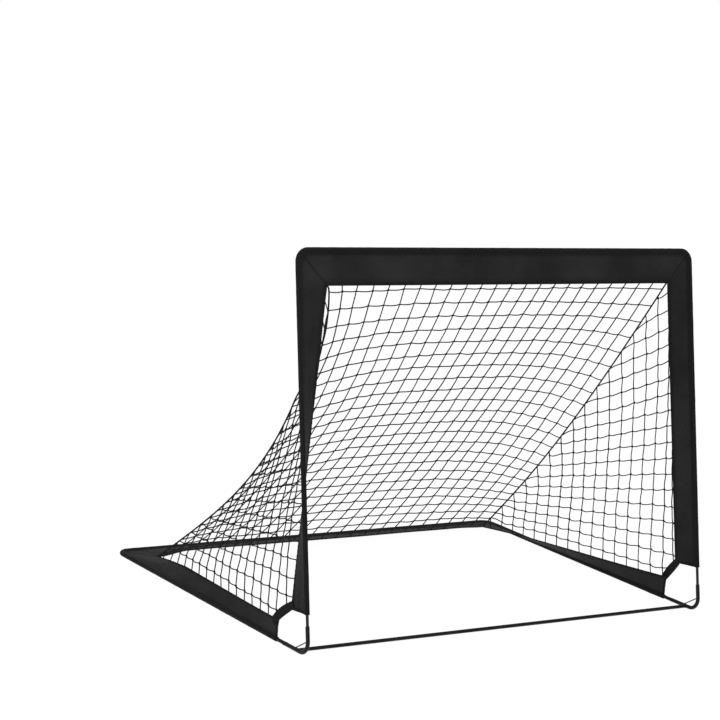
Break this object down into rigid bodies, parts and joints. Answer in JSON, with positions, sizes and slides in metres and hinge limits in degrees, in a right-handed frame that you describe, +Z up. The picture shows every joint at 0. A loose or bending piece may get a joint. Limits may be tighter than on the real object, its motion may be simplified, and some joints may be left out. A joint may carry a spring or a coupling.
{
  "type": "folding soccer goal",
  "caption": "Small folding soccer goal with poles in sewn fabric bands, steel front elbows and ground bar, and a sloping knotted net.",
  "frame": {"origin": "on the ground, in the middle of the goal's length and width", "axes": "+X across the goal to the right seen from the front, +Y from the mouth into the net, +Z up"},
  "size_m": [1.2332, 0.9043, 0.9261],
  "materials": {
    "steel": "satin black paint",
    "fibreglass": "black, smooth",
    "cloth": "black woven bag cloth",
    "webbing": "black woven webbing",
    "twine": "black knotted twine"
  },
  "bodies": {
    "base": {"rear_pole": "fibreglass", "side_pole_left": "fibreglass", "side_pole_right": "fibreglass", "rear_corner_left": "steel", "rear_corner_right": "steel", "pivot_eye_left": "steel", "pivot_eye_right": "steel", "pivot_rivet_left": "steel", "pivot_rivet_right": "steel", "rear_band": "cloth", "side_band_left": "cloth", "side_band_right": "cloth", "back_net": "twine", "side_net_left": "twine", "side_net_right": "twine", "seam_cord_left": "twine", "seam_cord_right": "twine"},
    "front_frame": {"elbow_left": "steel", "elbow_right": "steel", "brace_left": "steel", "brace_right": "steel", "front_bar": "steel", "post_pole_left": "fibreglass", "post_pole_right": "fibreglass", "top_corner_left": "steel", "top_corner_right": "steel", "crossbar_pole": "fibreglass", "crossbar_band": "cloth", "post_band_left": "cloth", "post_band_right": "cloth", "strap_left": "webbing", "strap_right": "webbing"}
  },
  "joints": [
    {"name": "front_fold", "type": "hinge", "parent": "base", "child": "front_frame", "pos_m": [0, -0.35626, 0.0061], "axis": [-1, 0, 0], "range_deg": [0, 82], "deforming": ["back_net", "side_net_left", "side_net_right", "seam_cord_left", "seam_cord_right", "post_band_left", "post_band_right", "strap_left", "strap_right"]}
  ]
}
